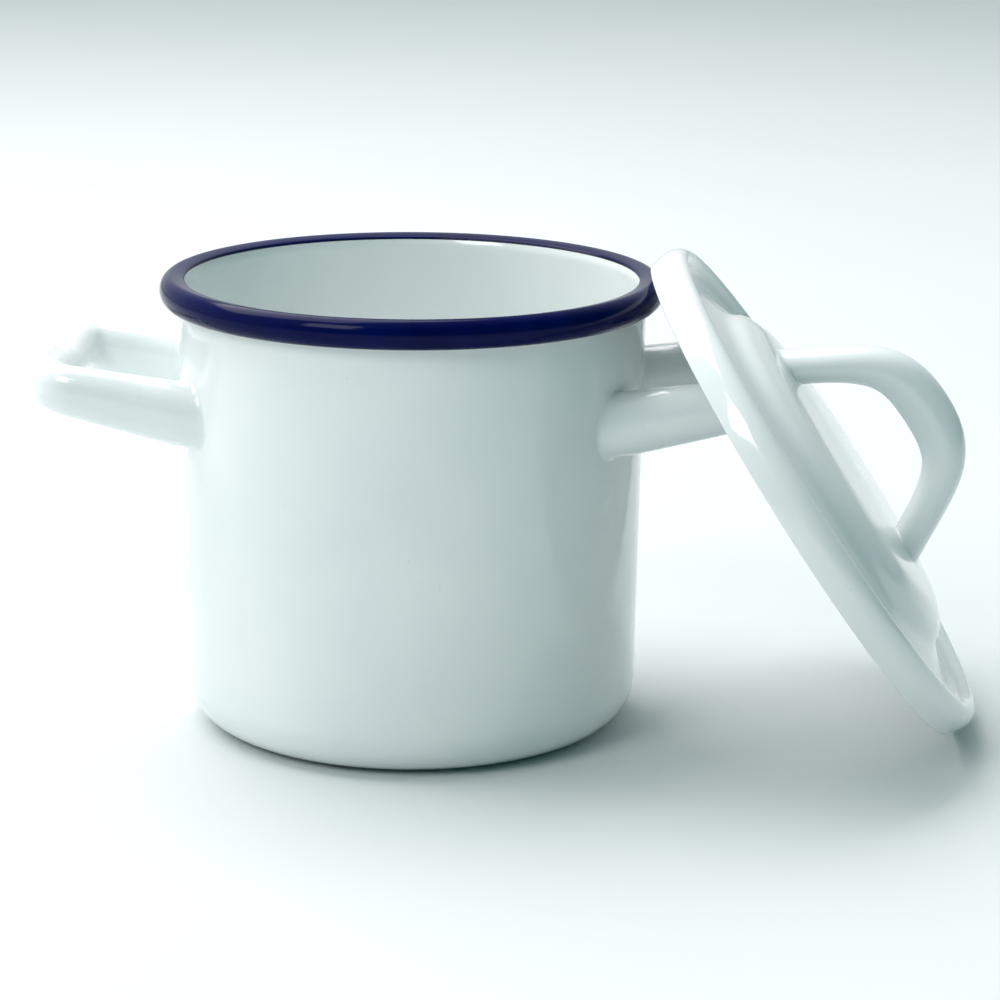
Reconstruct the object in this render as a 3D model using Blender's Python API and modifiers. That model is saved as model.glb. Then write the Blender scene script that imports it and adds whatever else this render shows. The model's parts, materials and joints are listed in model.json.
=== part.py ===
"""Small enamelled steel pot with two side handles and a loose domed lid that leans on its rim.

Metres, +Z up. The origin is the centre of the base's flat underside, +X points along the line
of the handles towards the lid, and -Y is the side from which the lid's loop shows its opening.
"""

import math

import bmesh
import bpy
from mathutils import Matrix, Vector
from mathutils.geometry import interpolate_bezier

# Driving dimensions of the pot
SHEET = 0.0012
GAP = 0.0003
BASE_RADIUS = 0.0691
MOUTH_RADIUS = 0.0707
CORNER_RADIUS = 0.0134
WALL_TOP = 0.1299
RIM_RADIUS = 0.0723
RIM_HEIGHT = 0.1335
RIM_HALF_WIDTH = 0.0037
RIM_HALF_HEIGHT = 0.0045
RIM_INNER_DROP = 0.0010
RIM_INNER_ROUND = 0.0009

# Driving dimensions of the side handles
HANDLE_REACH = 0.1125
HANDLE_HALF_THICKNESS = 0.0058
HANDLE_SHEET = 0.0011
HANDLE_TURN = math.radians(4.9)
FOOT_DISTANCE = 0.0560
FOOT_SIDE = 0.0350
FOOT_HEIGHT = 0.0983
FOOT_HALF_HEIGHT = 0.0106
KNEE_DISTANCE = 0.0981
KNEE_SIDE = 0.0313
TIP_HEIGHT = 0.1075
TIP_HALF_HEIGHT = 0.0056
KNEE_PULL = 0.0100
TIP_PULL = 0.0213
CUT_BELOW_FOOT = 0.035
CUT_ABOVE_FOOT = 0.025

# Driving dimensions of the lid. Heights are from the middle plane of its rounded edge
LID_SHEET = 0.0008
LID_RADIUS = 0.0850
EDGE_HALF_WIDTH = 0.0040
EDGE_HEIGHT = 0.0058
LIP_RADIUS = 0.0846
LIP_DEPTH = 0.0053
PLATEAU_RADIUS = 0.0290
PLATEAU_HEIGHT = 0.0136
CROWN = 0.0003
DOME_RADIUS = 0.0420
DOME_HEIGHT = 0.0133
SHOULDER_RADIUS = 0.0491
SHOULDER_HEIGHT = 0.0126
BROW_RADIUS = 0.0560
BROW_HEIGHT = 0.0097
STEP_RADIUS = 0.0590
STEP_HEIGHT = 0.0056
GROOVE_RADIUS = 0.0700
GROOVE_HEIGHT = 0.0018
LID_CENTRE = Vector((0.12294, -0.00944, 0.07356))
LID_TILT = 0.9756
LID_TURN = 0.0808

# Driving dimensions of the lid's loop handle, which leans inward from its feet
LOOP_HALF_SPAN = 0.0330
LOOP_HEIGHT = 0.0276
LOOP_OFFSET = 0.0031
LOOP_LEAN = math.radians(29.0)
LOOP_FOOT_HALF_THICKNESS = 0.0053
LOOP_TOP_HALF_THICKNESS = 0.0075
LOOP_HALF_WIDTH = 0.0074
LOOP_ROOT_DEPTH = 0.0060
LOOP_FOOT_PULL = 0.0243
LOOP_TOP_PULL = 0.0191

# Roundness of the bars: 1 is an ellipse, and less is boxier
SECTION_POWER = 0.95

STEPS = 48


def clear_scene():
    for obj in list(bpy.data.objects):
        bpy.data.objects.remove(obj, do_unlink=True)


def make_collection(name):
    collection = bpy.data.collections.new(name)
    bpy.context.scene.collection.children.link(collection)
    return collection


def make_material(name, colour, roughness):
    material = bpy.data.materials.new(name)
    material.use_nodes = True
    shader = material.node_tree.nodes["Principled BSDF"]
    shader.inputs["Base Color"].default_value = (*colour, 1.0)
    shader.inputs["Roughness"].default_value = roughness
    shader.inputs["Metallic"].default_value = 0.0
    return material


def add_object(name, mesh, collection, material=None):
    obj = bpy.data.objects.new(name, mesh)
    collection.objects.link(obj)
    if material:
        mesh.materials.append(material)
    return obj


def arc(centre, half_width, half_height, start, end, count):
    """Points on an ellipse in the profile plane, from one angle to another, in degrees."""
    points = []
    for i in range(count):
        angle = math.radians(start + (end - start) * i / (count - 1))
        points.append((centre[0] + half_width * math.cos(angle), centre[1] + half_height * math.sin(angle)))
    return points


def rounded(points, radii, count=4):
    """The outline with each inner corner replaced by a curve that starts and ends its radius away."""
    outline = [Vector(points[0])]
    for i in range(1, len(points) - 1):
        corner = Vector(points[i])
        back = (Vector(points[i - 1]) - corner).normalized() * radii[i]
        ahead = (Vector(points[i + 1]) - corner).normalized() * radii[i]
        for k in range(count + 1):
            t = k / count
            outline.append(corner + back * (1 - t) ** 2 + ahead * t ** 2)
    outline.append(Vector(points[-1]))
    return outline


def offset_inside(outline, distance):
    """The outline moved to its right-hand side by a distance; a point on the axis stays on it."""
    moved = []
    for i, point in enumerate(outline):
        before = outline[max(i - 1, 0)]
        after = outline[min(i + 1, len(outline) - 1)]
        along = (Vector(after) - Vector(before)).normalized()
        normal = Vector((along.y, -along.x))
        if abs(point[0]) < 1e-9:
            normal = Vector((0.0, -1.0))
        moved.append(Vector(point) + normal * distance)
    return moved


def turned(name, profile, closed, collection, material=None):
    """A solid of revolution about its local Z axis. The profile runs down its outer side."""
    mesh = bpy.data.meshes.new(name)
    edges = [(i, i + 1) for i in range(len(profile) - 1)]
    if closed:
        edges.append((len(profile) - 1, 0))
    mesh.from_pydata([(x, 0.0, z) for x, z in profile], edges, [])
    obj = add_object(name, mesh, collection, material)
    screw = obj.modifiers.new("Turn", "SCREW")
    screw.axis = "Z"
    screw.angle = 2 * math.pi
    screw.steps = STEPS
    screw.render_steps = STEPS
    screw.use_merge_vertices = True
    screw.merge_threshold = 0.00001
    screw.use_smooth_shade = True
    return obj


def bar_rings(path, across, heights, half_thicknesses, half_heights, sides=12):
    """Rings of a bar with an oval section: one ring for each point of its path."""
    rings = []
    for point, side, height, thick, half in zip(path, across, heights, half_thicknesses, half_heights):
        ring = []
        for k in range(sides):
            angle = 2 * math.pi * k / sides
            out = math.copysign(abs(math.cos(angle)) ** SECTION_POWER, math.cos(angle)) * thick
            up = math.copysign(abs(math.sin(angle)) ** SECTION_POWER, math.sin(angle)) * half
            ring.append((point[0] + side[0] * out, point[1] + side[1] * out, height + up))
        rings.append(ring)
    return rings


def hollow_bar(name, outer, inner, collection, material):
    """A tube between an outer and an inner stack of rings, open at both ends."""
    mesh = bpy.data.meshes.new(name)
    shape = bmesh.new()
    skins = [[[shape.verts.new(p) for p in ring] for ring in stack] for stack in (outer, inner)]
    sides = len(outer[0])
    for skin, flip in zip(skins, (False, True)):
        for low, high in zip(skin, skin[1:]):
            for k in range(sides):
                after = (k + 1) % sides
                face = [low[k], low[after], high[after], high[k]]
                shape.faces.new(face[::-1] if flip else face)
    for end in (0, -1):
        for k in range(sides):
            after = (k + 1) % sides
            shape.faces.new([skins[0][end][k], skins[1][end][k], skins[1][end][after], skins[0][end][after]])
    bmesh.ops.recalc_face_normals(shape, faces=shape.faces)
    shape.to_mesh(mesh)
    shape.free()
    mesh.shade_smooth()
    return add_object(name, mesh, collection, material)


def sideways(path):
    """The outward unit normal at each point of a flat path, from its neighbours."""
    normals = []
    for i in range(len(path)):
        along = path[min(i + 1, len(path) - 1)] - path[max(i - 1, 0)]
        normals.append(Vector((along.y, -along.x)).normalized())
    return normals


def handle_path():
    """Centre line of a side handle in plan: a straight leg, a rounded end and the other leg."""
    tip = Vector((HANDLE_REACH - HANDLE_HALF_THICKNESS, 0.0))
    foot = Vector((FOOT_DISTANCE, FOOT_SIDE))
    knee = Vector((KNEE_DISTANCE, KNEE_SIDE))
    lead = (knee - foot).normalized() * KNEE_PULL
    end = interpolate_bezier(tip, tip + Vector((0.0, TIP_PULL)), knee + lead, knee, 9)
    half = [Vector(p[:2]) for p in end]
    half += [knee.lerp(foot, k / 3) for k in range(1, 4)]
    mirrored = [Vector((p.x, -p.y)) for p in half[:0:-1]]
    return mirrored + half


def side_handle(name, angle, collection, material, cutter):
    """A hollow pressed handle whose two feet are cut to the curve of the wall."""
    path = handle_path()
    normals = sideways(path)
    reach = HANDLE_REACH - HANDLE_HALF_THICKNESS
    slope = (TIP_HEIGHT - FOOT_HEIGHT) / (reach - FOOT_DISTANCE)
    heights = [TIP_HEIGHT - slope * (reach - p.x) for p in path]
    steps = [(path[i + 1] - path[i]).length for i in range(len(path) // 2, len(path) - 1)]
    from_tip = [0.0]
    for step in steps:
        from_tip.append(from_tip[-1] + step)
    growth = (FOOT_HALF_HEIGHT - TIP_HALF_HEIGHT) / from_tip[-1]
    spans = [TIP_HALF_HEIGHT + growth * d for d in from_tip[:0:-1] + from_tip]
    inner_spans = [s - HANDLE_SHEET for s in spans]
    outer = bar_rings(path, normals, heights, [HANDLE_HALF_THICKNESS] * len(path), spans)
    inner = bar_rings(path, normals, heights, [HANDLE_HALF_THICKNESS - HANDLE_SHEET] * len(path), inner_spans)
    handle = hollow_bar(name, outer, inner, collection, material)
    handle.rotation_euler = (0.0, 0.0, angle)
    trim = handle.modifiers.new("Wall", "BOOLEAN")
    trim.operation = "DIFFERENCE"
    trim.solver = "EXACT"
    trim.object = cutter
    return handle


def pot_body(collection, material):
    """The drawn shell: flat base, rounded corner and a wall that widens slightly to the mouth."""
    inner_corner = CORNER_RADIUS - SHEET
    centre = (BASE_RADIUS - CORNER_RADIUS, CORNER_RADIUS)
    profile = [(0.0, SHEET)]
    profile += arc(centre, inner_corner, inner_corner, -90, 0, 7)
    profile += [(MOUTH_RADIUS - SHEET, WALL_TOP), (MOUTH_RADIUS, WALL_TOP)]
    profile += arc(centre, CORNER_RADIUS, CORNER_RADIUS, 0, -90, 7)
    profile.append((0.0, 0.0))
    return turned("pot_body", profile, False, collection, material)


def rolled_rim(collection, material):
    """The rolled edge: an upright inner side, a top that slopes inward, and a curl back to the wall."""
    centre = (RIM_RADIUS, RIM_HEIGHT)
    inner_side = RIM_RADIUS - RIM_HALF_WIDTH
    top = RIM_HEIGHT + RIM_HALF_HEIGHT
    outline = rounded(
        [(inner_side, WALL_TOP + GAP), (inner_side, top - RIM_INNER_DROP), (RIM_RADIUS, top)],
        [0.0, RIM_INNER_ROUND, 0.0],
        2,
    )
    outline += arc(centre, RIM_HALF_WIDTH, RIM_HALF_HEIGHT, 80, -100, 12)
    profile = outline + offset_inside(outline, SHEET)[::-1]
    return turned("rolled_rim", profile, True, collection, material)


def lid_shell(collection, material):
    """The lid's sheet: plateau, dome, shoulder, step, groove, a rounded edge and a skirt to the lip."""
    corners = [
        (0.0, PLATEAU_HEIGHT + CROWN),
        (PLATEAU_RADIUS, PLATEAU_HEIGHT),
        (DOME_RADIUS, DOME_HEIGHT),
        (SHOULDER_RADIUS, SHOULDER_HEIGHT),
        (BROW_RADIUS, BROW_HEIGHT),
        (STEP_RADIUS, STEP_HEIGHT),
        (GROOVE_RADIUS, GROOVE_HEIGHT),
    ]
    edge_centre = (LID_RADIUS - EDGE_HALF_WIDTH, 0.0)
    edge = arc(edge_centre, EDGE_HALF_WIDTH, EDGE_HEIGHT, 150, 0, 10)
    outline = rounded(corners + [edge[0]], [0.0, 0.004, 0.004, 0.0025, 0.0020, 0.0020, 0.0025, 0.0], 2)
    outline += edge[1:]
    outline.append((LIP_RADIUS, -LIP_DEPTH))
    profile = outline + offset_inside(outline, LID_SHEET)[::-1]
    return turned("lid_shell", profile, False, collection, material)


def loop_path():
    """Centre line of the loop in its own upright plane, from one foot over the top to the other."""
    foot = Vector((LOOP_HALF_SPAN, PLATEAU_HEIGHT))
    top = Vector((0.0, PLATEAU_HEIGHT + LOOP_HEIGHT))
    lean = Vector((-math.sin(LOOP_LEAN), math.cos(LOOP_LEAN)))
    root = foot - lean * LOOP_ROOT_DEPTH
    beside_top = top + Vector((LOOP_TOP_PULL, 0.0))
    half = interpolate_bezier(foot, foot + lean * LOOP_FOOT_PULL, beside_top, top, 10)
    half = [root] + [Vector(p[:2]) for p in half]
    return [Vector((-p.x, p.y)) for p in half[:-1]] + half[::-1]


def lid_handle(collection, material, cutter):
    """A hollow loop, thicker in its middle, whose two feet are cut to the top of the lid."""
    path = loop_path()
    normals = sideways(path)
    count = len(path)
    growth = LOOP_TOP_HALF_THICKNESS - LOOP_FOOT_HALF_THICKNESS
    swell = [math.sin(math.pi * i / (count - 1)) ** 2 for i in range(count)]
    thick = [LOOP_FOOT_HALF_THICKNESS + growth * share for share in swell]
    thin = [t - HANDLE_SHEET for t in thick]
    flat = [0.0] * count
    outer = bar_rings(path, normals, flat, thick, [LOOP_HALF_WIDTH] * count)
    inner = bar_rings(path, normals, flat, thin, [LOOP_HALF_WIDTH - HANDLE_SHEET] * count)
    stand = Matrix.Translation((-LOOP_OFFSET, 0.0, 0.0)) @ Matrix.Rotation(math.radians(90), 4, "X")
    outer = [[stand @ Vector(p) for p in ring] for ring in outer]
    inner = [[stand @ Vector(p) for p in ring] for ring in inner]
    loop = hollow_bar("lid_handle", outer, inner, collection, material)
    trim = loop.modifiers.new("Lid top", "BOOLEAN")
    trim.operation = "DIFFERENCE"
    trim.solver = "EXACT"
    trim.object = cutter
    return loop


def main():
    clear_scene()
    pot = make_collection("enamel_pot")
    cutters = make_collection("cutters")
    cutters.hide_render = True
    white = {
        name: make_material(name, (0.84, 0.88, 0.87), 0.12)
        for name in ("pot_white", "handle_left_white", "handle_right_white", "lid_white", "loop_white")
    }
    blue = make_material("rim_blue", (0.004, 0.012, 0.090), 0.10)

    pot_body(pot, white["pot_white"])
    rolled_rim(pot, blue)

    slope = (MOUTH_RADIUS - BASE_RADIUS) / (WALL_TOP - CORNER_RADIUS)
    cutter_low = FOOT_HEIGHT - CUT_BELOW_FOOT
    cutter_high = FOOT_HEIGHT + CUT_ABOVE_FOOT
    low_radius = BASE_RADIUS + slope * (cutter_low - CORNER_RADIUS) + GAP
    high_radius = BASE_RADIUS + slope * (cutter_high - CORNER_RADIUS) + GAP
    cone = [(0.0, cutter_high), (high_radius, cutter_high), (low_radius, cutter_low), (0.0, cutter_low)]
    wall = turned("wall_cutter", cone, False, cutters)
    side_handle("handle_right", -HANDLE_TURN, pot, white["handle_right_white"], wall)
    side_handle("handle_left", math.pi - HANDLE_TURN, pot, white["handle_left_white"], wall)

    lid_frame = bpy.data.objects.new("lid_frame", None)
    pot.objects.link(lid_frame)
    lid_frame.location = LID_CENTRE
    lid_frame.rotation_euler = (0.0, LID_TILT, -LID_TURN)
    shell = lid_shell(pot, white["lid_white"])
    cap = [
        (0.0, PLATEAU_HEIGHT + CROWN + GAP),
        (PLATEAU_RADIUS, PLATEAU_HEIGHT + GAP),
        (DOME_RADIUS, DOME_HEIGHT + GAP),
        (SHOULDER_RADIUS, SHOULDER_HEIGHT + GAP),
        (SHOULDER_RADIUS, 0.0),
        (0.0, 0.0),
    ]
    lid_top = turned("lid_cutter", cap, False, cutters)
    loop = lid_handle(pot, white["loop_white"], lid_top)
    for piece in (shell, loop, lid_top):
        piece.parent = lid_frame
    for cutter in (wall, lid_top):
        cutter.hide_render = True
        cutter.display_type = "WIRE"


main()
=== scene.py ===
"""Looks for a small enamelled pot whose loose lid leans on it.

Fine surfaces stand in for the CAD nodes, with enamel, a plain floor, soft light and a camera.
Lengths are in metres, in the CAD's own frame.
"""

import json
import math

import bmesh
import bpy
from mathutils import Matrix, Vector
from mathutils.geometry import interpolate_bezier


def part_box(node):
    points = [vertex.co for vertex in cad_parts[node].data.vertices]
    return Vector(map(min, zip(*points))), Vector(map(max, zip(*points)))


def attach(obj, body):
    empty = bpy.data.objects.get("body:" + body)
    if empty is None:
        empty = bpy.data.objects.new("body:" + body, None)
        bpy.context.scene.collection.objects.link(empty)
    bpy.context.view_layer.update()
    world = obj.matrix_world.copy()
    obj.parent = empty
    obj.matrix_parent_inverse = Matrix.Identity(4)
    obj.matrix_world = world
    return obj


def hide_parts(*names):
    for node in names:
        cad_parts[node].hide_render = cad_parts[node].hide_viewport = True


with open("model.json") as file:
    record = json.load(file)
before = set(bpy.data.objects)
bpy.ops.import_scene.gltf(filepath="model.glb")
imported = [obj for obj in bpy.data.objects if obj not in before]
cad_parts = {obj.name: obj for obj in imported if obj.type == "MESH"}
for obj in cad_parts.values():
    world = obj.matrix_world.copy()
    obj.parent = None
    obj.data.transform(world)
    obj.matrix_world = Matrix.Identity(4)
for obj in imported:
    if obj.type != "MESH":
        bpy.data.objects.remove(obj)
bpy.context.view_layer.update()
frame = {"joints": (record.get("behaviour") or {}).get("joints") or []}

# How finely round shapes are cut, and how near the axis a point counts as on it
TURNS = 240
BAR_SIDES = 48
ROUNDING_STEPS = 8
AXIS_WIDTH = 1e-9

# The pot's sheet and its wall. The shell's edge is tucked under the roll, out of sight
SHEET = 0.0012
BASE_RADIUS = 0.0691
CORNER_RADIUS = 0.0134
CORNER_POINTS = 24
POT_SPACING = 0.0035
WALL_OVERLAP = 0.0014
SHELL_TUCK = (0.0004, 0.0002)

# The rolled rim. Its glaze starts at the blue edge inside the mouth and ends at the roll's foot,
# and both of its ends are tucked a little into the wall
RIM_RADIUS = 0.0723
RIM_HALF_WIDTH = 0.0037
RIM_HEIGHT = 0.1335
RIM_HALF_HEIGHT = 0.0045
RIM_INNER_ROUND = 0.0009
BLUE_EDGE = 0.1366
BLUE_EDGE_ROUND = 0.0002
BLUE_EDGE_TUCK = (0.0005, 0.0004)
INNER_CURVE = 0.8 * RIM_INNER_ROUND
ROLL_START = 88
ROLL_END = -118
ROLL_POINTS = 56
ROLL_WALL = 0.1296
ROLL_FOOT = 0.1297
ROLL_FOOT_TUCK = 0.0002
ROLL_BACK = 0.1330
ROLL_BACK_TUCK = 0.0004

# The side handles. Each leg widens towards its foot, which spreads into the wall. The wall's
# radius is taken the look-ahead distance past the leg's end
HANDLE_REACH = 0.1125
HANDLE_HALF_THICKNESS = 0.0058
HANDLE_FOOT_HALF_THICKNESS = 0.0075
HANDLE_TURN = math.radians(4.9)
HANDLE_TIP_HEIGHT = 0.1075
HANDLE_TIP_HALF = 0.0056
HANDLE_FOOT = Vector((0.0560, 0.0350))
HANDLE_FOOT_HEIGHT = 0.0983
HANDLE_FOOT_HALF = 0.0104
HANDLE_KNEE = Vector((0.0981, 0.0313))
HANDLE_KNEE_PULL = 0.0100
HANDLE_TIP_PULL = 0.0213
HANDLE_TIP_POINTS = 33
HANDLE_LEG_END = 0.70
HANDLE_LEG_STEPS = 14
HANDLE_WIDENING_POWER = 1.5
HANDLE_BLEND = 0.0036
HANDLE_SPREAD = 0.0010
WALL_LOOK_AHEAD = 0.02

# The lid. Heights are from the middle plane of its rounded edge
LID_SHEET = 0.0008
LID_RADIUS = 0.08492
EDGE_HALF_WIDTH = 0.0040
EDGE_HEIGHT = 0.0057
EDGE_START = 150
EDGE_POINTS = 32
LIP_RADIUS = 0.0845
LIP_DEPTH = 0.0049
LIP_POINTS = 7
PLATEAU = (0.0290, 0.0136)
CROWN = 0.0003
DOME = (0.0420, 0.0133)
SHOULDER = (0.0491, 0.0126)
BROW = (0.0560, 0.0097)
STEP = (0.0590, 0.0056)
GROOVE = (0.0700, 0.0018)
LID_ROUNDS = [0.0, 0.0040, 0.0040, 0.0028, 0.0022, 0.0020, 0.0030, 0.0]
LID_SPACING = 0.0030
LID_CENTRE = Vector((0.12294, -0.00944, 0.07356))

# The lid's loop, which leans inward from its feet and is thicker in its middle. Its feet find
# the lid in small steps, each at the least descent or steeper
LOOP_HALF_SPAN = 0.0330
LOOP_HEIGHT = 0.0276
LOOP_OFFSET = 0.0031
LOOP_LEAN = math.radians(29.0)
LOOP_FOOT_HALF_THICKNESS = 0.0053
LOOP_TOP_HALF_THICKNESS = 0.0075
LOOP_HALF_WIDTH = 0.0073
LOOP_FOOT_PULL = 0.0236
LOOP_TOP_PULL = 0.0178
LOOP_POINTS = 41
LOOP_FOOT_CLEAR = 0.0042
LOOP_BLEND = 0.0013
LOOP_SPREAD = 0.0009
LID_LOOK_STEPS = 16
LEAST_DESCENT = 0.2

# The bars' section, and how their ends bend over into a surface and sink below it
SECTION_POWER = 0.95
BLEND_STEPS = 12
BLEND_SINK = 0.0006

# Keeps the blue roll just inside the CAD's own, whose round shapes are cut coarser
INSET = 0.00005

# Enamel. Noise scales are per metre, and patches are a scale and the two levels used of the noise
WHITE_THIN = (0.760, 0.815, 0.815)
WHITE_THICK = (0.850, 0.880, 0.872)
WHITE_PATCHES = (14.0, 0.32, 0.68)
WHITE_WAVINESS = 0.10
WHITE_COAT = 0.30
BLUE_THIN = (0.0002, 0.0045, 0.0700)
BLUE_THICK = (0.0001, 0.0012, 0.0400)
BLUE_PATCHES = (60.0, 0.30, 0.70)
BLUE_WAVINESS = 0.06
BLUE_COAT = 0.0
BLUE_SPECULAR = 0.08
PATCH_DETAIL = 3.0
GLOSS_SCALE = 38.0
GLOSS_DETAIL = 3.0
GLOSS_LEVELS = (0.3, 0.7)
ROUGHNESS_RANGE = (0.07, 0.15)
WAVE_SCALE = 32.0
WAVE_DETAIL = 1.0
WAVE_DEPTH = 0.0006
PEEL_SCALE = 900.0
PEEL_DETAIL = 2.0
PEEL_DEPTH = 0.00003
PEEL_STRENGTH = 0.25
GLASS_IOR = 1.52
COAT_ROUGHNESS = 0.05
SPECK_COLOUR = (0.20, 0.16, 0.14)
SPECK_SCALE = 240.0
SPECK_SIZE = 0.055
SPECK_CHOICE_SCALE = 55.0
SPECK_CHOICE_LEVELS = (0.66, 0.68)
SPECK_DARKNESS = 0.35

# The floor
FLOOR_RADIUS = 6.0
FLOOR_SIDES = 96
FLOOR_DROP = 0.0004
FLOOR_DARKER = (0.680, 0.715, 0.717)
FLOOR_LIGHTER = (0.700, 0.730, 0.732)
FLOOR_GRAIN_SCALE = 3.0
FLOOR_GRAIN_DETAIL = 2.0
FLOOR_GRAIN_LEVELS = (0.3, 0.7)
FLOOR_ROUGHNESS = 0.9
FLOOR_SPECULAR = 0.1

# The sky, from its dark side to its bright side
BRIGHT_SIDE = Vector((-0.50, 0.66, 0.50))
SKY_DARK = (0.02, 0.15, 0.16)
SKY_BRIGHT = (0.68, 0.72, 0.72)
SKY_LEVELS = (-0.20, 0.50)
SKY_STRENGTH = 1.0

# The camera, aimed at a point on the pot's axis and then turned a little off it
CAMERA_SENSOR = 36.0
CAMERA_LENS = 116.17
CAMERA_DISTANCE = 0.99157
CAMERA_AIM_HEIGHT = 0.06301
CAMERA_ELEVATION = math.radians(14.646)
CAMERA_PAN = math.radians(-1.565)
CAMERA_TILT = math.radians(0.235)
CAMERA_ROLL = math.radians(-0.098)


# ---------------------------------------------------------------- shapes


def arc(centre, half_width, half_height, start, end, count):
    """Points on an ellipse in the profile plane, from one angle to another, in degrees."""
    points = []
    for i in range(count):
        angle = math.radians(start + (end - start) * i / (count - 1))
        across = centre[0] + half_width * math.cos(angle)
        up = centre[1] + half_height * math.sin(angle)
        points.append(Vector((across, up)))
    return points


def rounded(points, radii):
    """The outline with its corners rounded off, by curves that start and end a radius away."""
    outline = [Vector(points[0])]
    for i in range(1, len(points) - 1):
        corner = Vector(points[i])
        back = (Vector(points[i - 1]) - corner).normalized() * radii[i]
        ahead = (Vector(points[i + 1]) - corner).normalized() * radii[i]
        for k in range(ROUNDING_STEPS + 1):
            t = k / ROUNDING_STEPS
            outline.append(corner + back * (1 - t) ** 2 + ahead * t ** 2)
    outline.append(Vector(points[-1]))
    return outline


def offset_inside(outline, distance):
    """The outline moved to its right-hand side; a point on the axis stays on it."""
    moved = []
    for i, point in enumerate(outline):
        before = outline[max(i - 1, 0)]
        after = outline[min(i + 1, len(outline) - 1)]
        along = (after - before).normalized()
        normal = Vector((along.y, -along.x))
        if abs(point.x) < AXIS_WIDTH:
            normal = Vector((0.0, -1.0))
        moved.append(point + normal * distance)
    return moved


def resampled(outline, spacing):
    """The outline with extra points so that no straight stretch is longer than the spacing."""
    fine = [outline[0]]
    for before, after in zip(outline, outline[1:]):
        count = max(1, math.ceil((after - before).length / spacing))
        fine += [before.lerp(after, k / count) for k in range(1, count + 1)]
    return fine


def new_piece(name, shape, body, *nodes, slot, material):
    """Makes a shown piece from a bmesh, which rides on a body and stands for CAD nodes."""
    bmesh.ops.recalc_face_normals(shape, faces=shape.faces)
    mesh = bpy.data.meshes.new(name)
    shape.to_mesh(mesh)
    shape.free()
    mesh.shade_smooth()
    piece = bpy.data.objects.new(name, mesh)
    bpy.context.scene.collection.objects.link(piece)
    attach(piece, body)
    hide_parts(*nodes)
    mesh.materials.append(material)


def turned(profile, closed, place=Matrix.Identity(4)):
    """A bmesh of revolution about the place's Z axis."""
    shape = bmesh.new()
    rings = []
    for radius, height in profile:
        if radius < AXIS_WIDTH:
            rings.append([shape.verts.new(place @ Vector((0.0, 0.0, height)))])
            continue
        ring = []
        for k in range(TURNS):
            angle = 2 * math.pi * k / TURNS
            point = Vector((radius * math.cos(angle), radius * math.sin(angle), height))
            ring.append(shape.verts.new(place @ point))
        rings.append(ring)
    pairs = list(zip(rings, rings[1:]))
    if closed:
        pairs.append((rings[-1], rings[0]))
    for first, second in pairs:
        for k in range(TURNS):
            after = (k + 1) % TURNS
            corners = [first[k % len(first)], second[k % len(second)]]
            corners += [second[after % len(second)], first[after % len(first)]]
            unique = []
            for vertex in corners:
                if vertex not in unique:
                    unique.append(vertex)
            if len(unique) > 2:
                shape.faces.new(unique)
    return shape


def lofted(rings):
    """A bmesh tube through rings of equal count, closed by one face at each end."""
    shape = bmesh.new()
    stack = [[shape.verts.new(p) for p in ring] for ring in rings]
    sides = len(rings[0])
    for low, high in zip(stack, stack[1:]):
        for k in range(sides):
            after = (k + 1) % sides
            shape.faces.new([low[k], low[after], high[after], high[k]])
    shape.faces.new(stack[0][::-1])
    shape.faces.new(stack[-1])
    return shape


def oval(count):
    """Unit points of the bars' section, a little boxier than an ellipse."""
    points = []
    for k in range(count):
        angle = 2 * math.pi * k / count
        across, high = math.cos(angle), math.sin(angle)
        out = math.copysign(abs(across) ** SECTION_POWER, across)
        up = math.copysign(abs(high) ** SECTION_POWER, high)
        points.append((out, up))
    return points


def sideways(path):
    """The unit normal on the right-hand side of a flat path at each of its points."""
    normals = []
    for i in range(len(path)):
        along = path[min(i + 1, len(path) - 1)] - path[max(i - 1, 0)]
        normals.append(Vector((along.y, -along.x)).normalized())
    return normals


def bar_rings(path, heights, half_thicknesses, half_heights):
    """Rings of an oval bar along a flat path, one for each of its points."""
    section = oval(BAR_SIDES)
    stations = zip(path, sideways(path), heights, half_thicknesses, half_heights)
    rings = []
    for point, normal, height, thick, half in stations:
        ring = []
        for out, up in section:
            flat = point + normal * (thick * out)
            ring.append(Vector((flat.x, flat.y, height + half * up)))
        rings.append(ring)
    return rings


def blended(rings, blend, spread, surface):
    """Carries both ends of a bar on to a surface, where they bend over into it.

    surface(point, direction) gives the point of the surface ahead and its outward normal.
    """
    for end, beside in ((0, 1), (-1, -2)):
        steps = (a - b for a, b in zip(rings[end], rings[beside]))
        inward = sum(steps, Vector()).normalized()
        hits = [surface(p, inward) for p in rings[end]]
        middle = sum((hit for hit, _ in hits), Vector()) / len(hits)
        curves = []
        for hit, normal in hits:
            outward = hit - middle
            outward = (outward - normal * outward.dot(normal)).normalized()
            start = hit - inward * blend
            finish = hit + outward * spread
            curves.append((start, hit, finish, normal))
        extra = []
        for step in range(BLEND_STEPS + 1):
            t = step / BLEND_STEPS
            near, bend, far = (1 - t) ** 2, 2 * t * (1 - t), t ** 2
            extra.append([a * near + b * bend + c * far for a, b, c, _ in curves])
        extra.append([c - normal * BLEND_SINK for _, _, c, normal in curves])
        rings = extra[::-1] + rings if end == 0 else rings + extra
    return rings


# ---------------------------------------------------------------- the pot


def wall_radius(height):
    """The outer radius of the pot's wall, which widens slightly towards the mouth."""
    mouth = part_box("pot_body")[1]
    slope = (mouth.x - BASE_RADIUS) / (mouth.z - CORNER_RADIUS)
    return BASE_RADIUS + slope * (height - CORNER_RADIUS)


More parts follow.
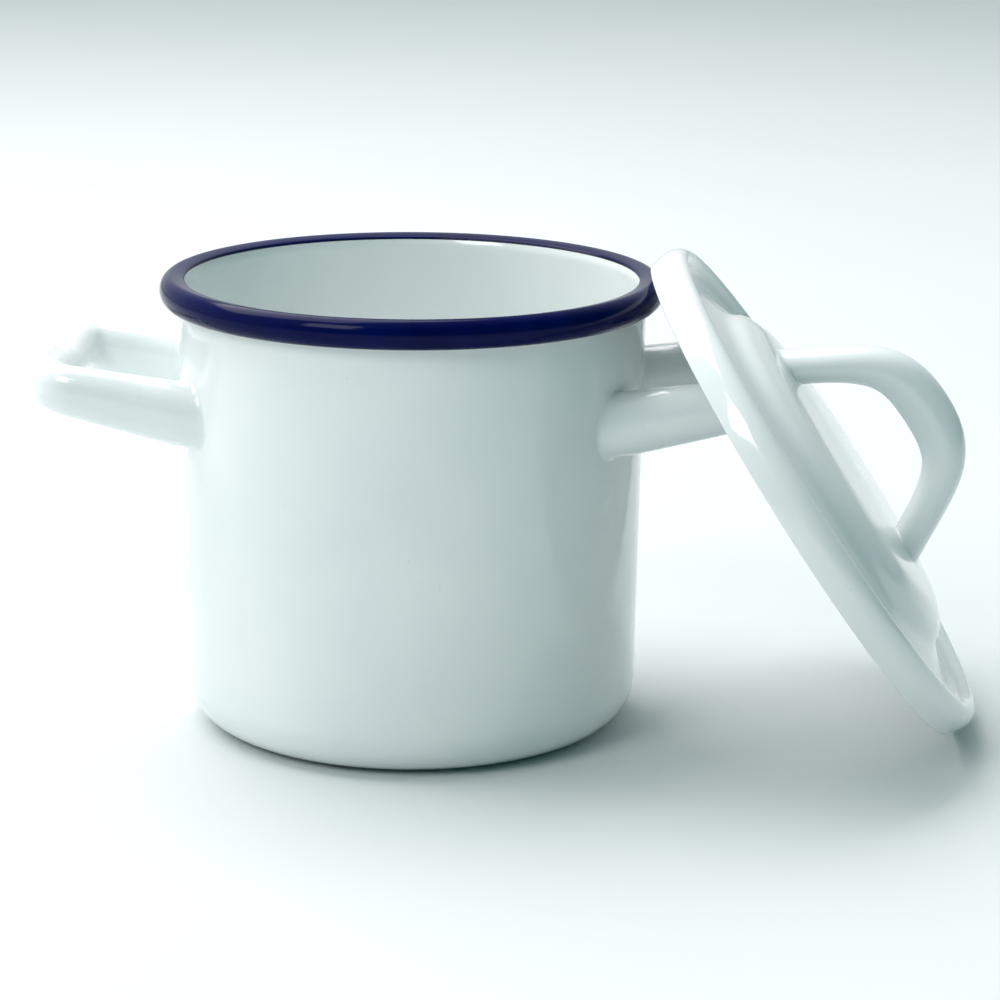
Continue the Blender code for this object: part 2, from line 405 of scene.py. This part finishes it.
def pot_shell():
    """The white shell, from the inside of its base over the mouth to the underside of its base."""
    wall_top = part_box("pot_body")[1].z
    centre = (BASE_RADIUS - CORNER_RADIUS, CORNER_RADIUS)
    inner_side = RIM_RADIUS - RIM_HALF_WIDTH
    inner_corner = CORNER_RADIUS - SHEET
    profile = [Vector((0.0, SHEET))]
    profile += arc(centre, inner_corner, inner_corner, -90, 0, CORNER_POINTS)
    profile += [
        Vector((inner_side, BLUE_EDGE)),
        Vector((inner_side + SHELL_TUCK[0], BLUE_EDGE + SHELL_TUCK[1])),
        Vector((RIM_RADIUS, RIM_HEIGHT)),
        Vector((wall_radius(wall_top), wall_top + WALL_OVERLAP)),
    ]
    profile += arc(centre, CORNER_RADIUS, CORNER_RADIUS, 0, -90, CORNER_POINTS)
    profile.append(Vector((0.0, 0.0)))
    return turned(resampled(profile, POT_SPACING), closed=False)


def rolled_rim():
    """The blue roll: up the inside of the mouth, over the top, round the outside and back in."""
    inner_side = RIM_RADIUS - RIM_HALF_WIDTH
    top = RIM_HEIGHT + RIM_HALF_HEIGHT - INSET
    outer = RIM_HALF_WIDTH - INSET
    wall = wall_radius(ROLL_WALL)
    corners = [
        (inner_side + BLUE_EDGE_TUCK[0], BLUE_EDGE - BLUE_EDGE_TUCK[1]),
        (inner_side - INSET, BLUE_EDGE),
        (inner_side - INSET, top - RIM_INNER_ROUND),
        (RIM_RADIUS, top),
    ]
    outline = rounded(corners, [0.0, BLUE_EDGE_ROUND, INNER_CURVE, 0.0])[:-1]
    roll_centre = (RIM_RADIUS, RIM_HEIGHT)
    outline += arc(roll_centre, outer, top - RIM_HEIGHT, ROLL_START, ROLL_END, ROLL_POINTS)
    outline.append(Vector((wall - ROLL_FOOT_TUCK, ROLL_FOOT)))
    outline.append(Vector((wall - ROLL_BACK_TUCK, ROLL_BACK)))
    return turned(outline, closed=True)


def on_wall(point, direction):
    """The point of the pot's outer wall ahead of a point, and the wall's outward normal there."""
    radius = wall_radius(point.z + direction.z * WALL_LOOK_AHEAD)
    flat_point = Vector((point.x, point.y))
    flat = Vector((direction.x, direction.y))
    a = flat.length_squared
    b = 2 * flat_point.dot(flat)
    c = flat_point.length_squared - radius ** 2
    root = math.sqrt(max(b * b - 4 * a * c, 0.0))
    hit = point + direction * ((-b - root) / (2 * a))
    return hit, Vector((hit.x, hit.y, 0.0)).normalized()


def side_handle(angle):
    """A side handle, turned about the pot's axis: a round tip, two knees and two legs."""
    tip_x = HANDLE_REACH - HANDLE_HALF_THICKNESS
    tip = Vector((tip_x, 0.0))
    tip_lead = tip + Vector((0.0, HANDLE_TIP_PULL))
    knee_lead = HANDLE_KNEE + (HANDLE_KNEE - HANDLE_FOOT).normalized() * HANDLE_KNEE_PULL
    curve = interpolate_bezier(tip, tip_lead, knee_lead, HANDLE_KNEE, HANDLE_TIP_POINTS)
    half = [Vector(p[:2]) for p in curve]
    leg_end = HANDLE_KNEE.lerp(HANDLE_FOOT, HANDLE_LEG_END)
    for k in range(1, HANDLE_LEG_STEPS + 1):
        half.append(HANDLE_KNEE.lerp(leg_end, k / HANDLE_LEG_STEPS))
    lengths = [0.0]
    for a, b in zip(half, half[1:]):
        lengths.append(lengths[-1] + (b - a).length)
    whole = lengths[-1] + (HANDLE_FOOT - leg_end).length
    slope = (HANDLE_TIP_HEIGHT - HANDLE_FOOT_HEIGHT) / (tip_x - HANDLE_FOOT.x)
    growth = (HANDLE_FOOT_HALF - HANDLE_TIP_HALF) / whole
    leg_start = lengths[HANDLE_TIP_POINTS - 1]
    leg_length = lengths[-1] - leg_start
    thick = []
    for length in lengths:
        widening = max(0.0, (length - leg_start) / leg_length) ** HANDLE_WIDENING_POWER
        extra = (HANDLE_FOOT_HALF_THICKNESS - HANDLE_HALF_THICKNESS) * widening
        thick.append(HANDLE_HALF_THICKNESS + extra)
    inner = [Vector((p.x, p.y - (t - HANDLE_HALF_THICKNESS))) for p, t in zip(half, thick)]
    path = [Vector((p.x, -p.y)) for p in inner[:0:-1]] + inner
    heights = [HANDLE_TIP_HEIGHT - slope * (tip_x - p.x) for p in path]
    halves = [HANDLE_TIP_HALF + growth * d for d in lengths[:0:-1] + lengths]
    rings = bar_rings(path, heights, thick[:0:-1] + thick, halves)
    rings = blended(rings, HANDLE_BLEND, HANDLE_SPREAD, on_wall)
    turn = Matrix.Rotation(angle, 4, "Z")
    return lofted([[turn @ p for p in ring] for ring in rings])


# ---------------------------------------------------------------- the lid


def lid_place():
    """The lid's own frame, centred in the middle plane of its edge, with Z the way it lifts."""
    axis = Vector(frame["joints"][0]["axis"]).normalized()
    turn = math.atan2(axis.y, axis.x)
    tilt = math.acos(axis.z)
    place = Matrix.Rotation(turn, 4, "Z") @ Matrix.Rotation(tilt, 4, "Y")
    place.translation = LID_CENTRE
    return place


def lid_outline():
    """The lid's upper side from its centre outward, over its rounded edge and down to the lip."""
    edge_centre = (LID_RADIUS - EDGE_HALF_WIDTH, 0.0)
    edge = arc(edge_centre, EDGE_HALF_WIDTH, EDGE_HEIGHT, EDGE_START, 0, EDGE_POINTS)
    centre = (0.0, PLATEAU[1] + CROWN)
    corners = [centre, PLATEAU, DOME, SHOULDER, BROW, STEP, GROOVE, edge[0]]
    outline = rounded(corners, LID_ROUNDS)
    outline += edge[1:]
    outline.append(Vector((LIP_RADIUS, -LIP_DEPTH)))
    return resampled(outline, LID_SPACING)


def lid_shell():
    """The lid's sheet: its upper side, a round lip and its underside."""
    outline = lid_outline()
    under = offset_inside(outline, LID_SHEET)[::-1]
    lip_centre = (outline[-1] + under[0]) / 2
    lip = arc(lip_centre, LID_SHEET / 2, LID_SHEET / 2, 0, -180, LIP_POINTS)
    return turned(outline + lip[1:-1] + under, closed=False, place=lid_place())


def lid_top_height(radius):
    """Height of the lid's upper side at a radius, inside its brow."""
    stations = [(0.0, PLATEAU[1] + CROWN), PLATEAU, DOME, SHOULDER, BROW]
    for (near, high), (far, low) in zip(stations, stations[1:]):
        if radius <= far:
            break
    return high + (low - high) * (radius - near) / (far - near)


def on_lid(point, direction):
    """The point of the lid's upper side ahead of a point, and its normal, in the loop's frame."""
    hit = point
    for _ in range(LID_LOOK_STEPS):
        above = hit.y - lid_top_height(math.hypot(hit.x - LOOP_OFFSET, hit.z))
        hit = hit + direction * (above / max(-direction.y, LEAST_DESCENT))
    return hit, Vector((0.0, 1.0, 0.0))


def lid_loop():
    """The lid's loop, bent in its own upright plane and then stood on the lid."""
    foot = Vector((LOOP_HALF_SPAN, PLATEAU[1]))
    top = Vector((0.0, PLATEAU[1] + LOOP_HEIGHT))
    lean = Vector((-math.sin(LOOP_LEAN), math.cos(LOOP_LEAN)))
    foot_lead = foot + lean * LOOP_FOOT_PULL
    top_lead = top + Vector((LOOP_TOP_PULL, 0.0))
    curve = interpolate_bezier(foot, foot_lead, top_lead, top, LOOP_POINTS)
    half = [Vector(p[:2]) for p in curve if p[1] > PLATEAU[1] + LOOP_FOOT_CLEAR]
    path = [Vector((-p.x, p.y)) for p in half[:-1]] + half[::-1]
    count = len(path)
    growth = LOOP_TOP_HALF_THICKNESS - LOOP_FOOT_HALF_THICKNESS
    thick = []
    for i in range(count):
        fullness = math.sin(math.pi * i / (count - 1)) ** 2
        thick.append(LOOP_FOOT_HALF_THICKNESS + growth * fullness)
    rings = bar_rings(path, [0.0] * count, thick, [LOOP_HALF_WIDTH] * count)
    rings = blended(rings, LOOP_BLEND, LOOP_SPREAD, on_lid)
    upright = Matrix.Rotation(math.radians(90), 4, "X")
    stand = lid_place() @ Matrix.Translation((-LOOP_OFFSET, 0.0, 0.0)) @ upright
    return lofted([[stand @ p for p in ring] for ring in rings])


# ---------------------------------------------------------------- enamel


def new_material(name):
    """A node material, its node tree, its shader and the surface's own coordinates."""
    material = bpy.data.materials.new(name)
    material.use_nodes = True
    tree = material.node_tree
    coordinates = node(tree, "ShaderNodeTexCoord").outputs["Object"]
    return material, tree, tree.nodes["Principled BSDF"], coordinates


def node(tree, kind, settings=(), values=()):
    """A new node with these settings and these values on its inputs."""
    made = tree.nodes.new(kind)
    for name, value in dict(settings).items():
        setattr(made, name, value)
    for name, value in dict(values).items():
        made.inputs[name].default_value = value
    return made


def noise(tree, coordinates, scale, detail):
    """The factor of a noise over the coordinates."""
    made = node(tree, "ShaderNodeTexNoise", values={"Scale": scale, "Detail": detail})
    tree.links.new(coordinates, made.inputs["Vector"])
    return made.outputs["Fac"]


def ranged(tree, value, levels, results=(0.0, 1.0)):
    """The value, carried from between two levels to between two results."""
    limits = {
        "From Min": levels[0],
        "From Max": levels[1],
        "To Min": results[0],
        "To Max": results[1],
    }
    made = node(tree, "ShaderNodeMapRange", values=limits)
    tree.links.new(value, made.inputs["Value"])
    return made.outputs["Result"]


def mixed(tree, factor, first, second):
    """The mix of two colours, each of which is a socket or plain numbers."""
    made = node(tree, "ShaderNodeMix", settings={"data_type": "RGBA"})
    tree.links.new(factor, made.inputs["Factor"])
    for socket, colour in ((made.inputs[6], first), (made.inputs[7], second)):
        if isinstance(colour, bpy.types.NodeSocket):
            tree.links.new(colour, socket)
        else:
            socket.default_value = (*colour, 1.0)
    return made.outputs[2]


def patched(tree, coordinates, patches, first, second):
    """Two colours in slow patches: a noise's scale and the two levels that it is used between."""
    scale, *levels = patches
    factor = ranged(tree, noise(tree, coordinates, scale, PATCH_DETAIL), levels)
    return mixed(tree, factor, first, second)


def enamel_surface(tree, shader, coordinates, waviness, coat):
    """Fired glass: slow waves, a fine orange peel and slightly uneven gloss."""
    gloss = noise(tree, coordinates, GLOSS_SCALE, GLOSS_DETAIL)
    roughness = ranged(tree, gloss, GLOSS_LEVELS, ROUGHNESS_RANGE)
    tree.links.new(roughness, shader.inputs["Roughness"])
    wave_limits = {"Strength": waviness, "Distance": WAVE_DEPTH}
    waves = node(tree, "ShaderNodeBump", values=wave_limits)
    wave_height = noise(tree, coordinates, WAVE_SCALE, WAVE_DETAIL)
    tree.links.new(wave_height, waves.inputs["Height"])
    peel_limits = {"Strength": PEEL_STRENGTH, "Distance": PEEL_DEPTH}
    peel = node(tree, "ShaderNodeBump", values=peel_limits)
    peel_height = noise(tree, coordinates, PEEL_SCALE, PEEL_DETAIL)
    tree.links.new(peel_height, peel.inputs["Height"])
    tree.links.new(waves.outputs["Normal"], peel.inputs["Normal"])
    tree.links.new(peel.outputs["Normal"], shader.inputs["Normal"])
    shader.inputs["IOR"].default_value = GLASS_IOR
    shader.inputs["Coat Weight"].default_value = coat
    shader.inputs["Coat Roughness"].default_value = COAT_ROUGHNESS


def specks(tree, coordinates, base):
    """Sparse pinholes in the glaze, each a small dark dot."""
    cells = node(tree, "ShaderNodeTexVoronoi", values={"Scale": SPECK_SCALE})
    tree.links.new(coordinates, cells.inputs["Vector"])
    dot_levels = (SPECK_SIZE * 0.5, SPECK_SIZE)
    dot = ranged(tree, cells.outputs["Distance"], dot_levels, (1.0, 0.0))
    choice = noise(tree, coordinates, SPECK_CHOICE_SCALE, 0.0)
    chosen = ranged(tree, choice, SPECK_CHOICE_LEVELS, (0.0, SPECK_DARKNESS))
    both = node(tree, "ShaderNodeMath", settings={"operation": "MULTIPLY"})
    tree.links.new(dot, both.inputs[0])
    tree.links.new(chosen, both.inputs[1])
    return mixed(tree, both.outputs[0], base, SPECK_COLOUR)


def white_enamel(name):
    """White glaze, a little thinner and cooler in slow patches."""
    material, tree, shader, coordinates = new_material(name)
    glaze = patched(tree, coordinates, WHITE_PATCHES, WHITE_THIN, WHITE_THICK)
    tree.links.new(specks(tree, coordinates, glaze), shader.inputs["Base Color"])
    enamel_surface(tree, shader, coordinates, WHITE_WAVINESS, WHITE_COAT)
    return material


def blue_enamel(name):
    """Blue glaze over the rolled rim, darker in patches where it is thick."""
    material, tree, shader, coordinates = new_material(name)
    glaze = patched(tree, coordinates, BLUE_PATCHES, BLUE_THICK, BLUE_THIN)
    tree.links.new(glaze, shader.inputs["Base Color"])
    enamel_surface(tree, shader, coordinates, BLUE_WAVINESS, BLUE_COAT)
    shader.inputs["Specular IOR Level"].default_value = BLUE_SPECULAR
    return material


# ---------------------------------------------------------------- studio


def plain_floor():
    """A pale floor just under the pot."""
    shape = bmesh.new()
    bmesh.ops.create_circle(shape, cap_ends=True, segments=FLOOR_SIDES, radius=FLOOR_RADIUS)
    mesh = bpy.data.meshes.new("floor")
    shape.to_mesh(mesh)
    shape.free()
    floor = bpy.data.objects.new("floor", mesh)
    floor.location.z = -FLOOR_DROP
    bpy.context.scene.collection.objects.link(floor)
    material, tree, shader, coordinates = new_material("floor_paper")
    grain = noise(tree, coordinates, FLOOR_GRAIN_SCALE, FLOOR_GRAIN_DETAIL)
    factor = ranged(tree, grain, FLOOR_GRAIN_LEVELS)
    tree.links.new(mixed(tree, factor, FLOOR_DARKER, FLOOR_LIGHTER), shader.inputs["Base Color"])
    shader.inputs["Roughness"].default_value = FLOOR_ROUGHNESS
    shader.inputs["Specular IOR Level"].default_value = FLOOR_SPECULAR
    mesh.materials.append(material)


def area_light(name, location, target, width, height, power, colour):
    """A soft box at a place, turned to a target."""
    data = bpy.data.lights.new(name, "AREA")
    data.shape = "RECTANGLE"
    data.size = width
    data.size_y = height
    data.energy = power
    data.color = colour
    light = bpy.data.objects.new(name, data)
    light.location = location
    aim = Vector(target) - Vector(location)
    light.rotation_euler = aim.to_track_quat("-Z", "Y").to_euler()
    bpy.context.scene.collection.objects.link(light)


def studio_light():
    """A pale studio: bright behind, above and to the left, and darker in front and to the right."""
    bpy.context.scene.view_settings.view_transform = "Standard"
    world = bpy.data.worlds.new("studio")
    bpy.context.scene.world = world
    world.use_nodes = True
    tree = world.node_tree
    background = tree.nodes["Background"]
    direction = node(tree, "ShaderNodeTexCoord").outputs["Generated"]
    side = node(tree, "ShaderNodeVectorMath", settings={"operation": "DOT_PRODUCT"})
    side.inputs[1].default_value = BRIGHT_SIDE.normalized()
    tree.links.new(direction, side.inputs[0])
    bright = ranged(tree, side.outputs["Value"], SKY_LEVELS)
    tree.links.new(mixed(tree, bright, SKY_DARK, SKY_BRIGHT), background.inputs["Color"])
    background.inputs["Strength"].default_value = SKY_STRENGTH
    area_light(
        "key",
        location=(-0.97, -1.15, 1.25),
        target=(0.0, 0.0, 0.07),
        width=0.7,
        height=0.7,
        power=10.0,
        colour=(1.0, 0.97, 0.96),
    )
    area_light(
        "top",
        location=(-0.70, 0.60, 1.80),
        target=(0.0, 0.0, 0.05),
        width=2.0,
        height=1.6,
        power=48.0,
        colour=(1.0, 0.975, 0.97),
    )


def camera():
    """The camera: a long lens in front of the pot, looking down at it."""
    data = bpy.data.cameras.new("camera")
    data.sensor_width = CAMERA_SENSOR
    data.lens = CAMERA_LENS
    level, rise = math.cos(CAMERA_ELEVATION), math.sin(CAMERA_ELEVATION)
    forward = Vector((0.0, level, -rise))
    right = Vector((1.0, 0.0, 0.0))
    up = right.cross(forward)
    turn = Matrix.Rotation(CAMERA_PAN, 3, up)
    forward, right = turn @ forward, turn @ right
    turn = Matrix.Rotation(CAMERA_TILT, 3, right)
    forward, up = turn @ forward, turn @ up
    turn = Matrix.Rotation(CAMERA_ROLL, 3, forward)
    right, up = turn @ right, turn @ up
    place = Matrix((right, up, -forward)).transposed().to_4x4()
    distance = CAMERA_DISTANCE
    place.translation = (0.0, -distance * level, CAMERA_AIM_HEIGHT + distance * rise)
    made = bpy.data.objects.new("camera", data)
    made.matrix_world = place
    bpy.context.scene.collection.objects.link(made)
    bpy.context.scene.camera = made


# ---------------------------------------------------------------- everything

pot_white = white_enamel("pot_enamel")
handle_white = white_enamel("handle_enamel")
lid_white = white_enamel("lid_enamel")
loop_white = white_enamel("loop_enamel")
rim_blue = blue_enamel("rim_enamel")

right, left = side_handle(-HANDLE_TURN), side_handle(math.pi - HANDLE_TURN)
for name, shape, body, cad_node, slot, material in (
    ("pot_shell", pot_shell(), "pot", "pot_body", "white_enamel", pot_white),
    ("blue_rim", rolled_rim(), "pot", "rolled_rim", "blue_enamel", rim_blue),
    ("right_handle", right, "pot", "handle_right", "white_enamel", handle_white),
    ("left_handle", left, "pot", "handle_left", "white_enamel", handle_white),
    ("lid", lid_shell(), "lid", "lid_shell", "white_enamel", lid_white),
    ("lid_loop", lid_loop(), "lid", "lid_handle", "white_enamel", loop_white),
):
    new_piece(name, shape, body, cad_node, slot=slot, material=material)

plain_floor()
studio_light()
camera()
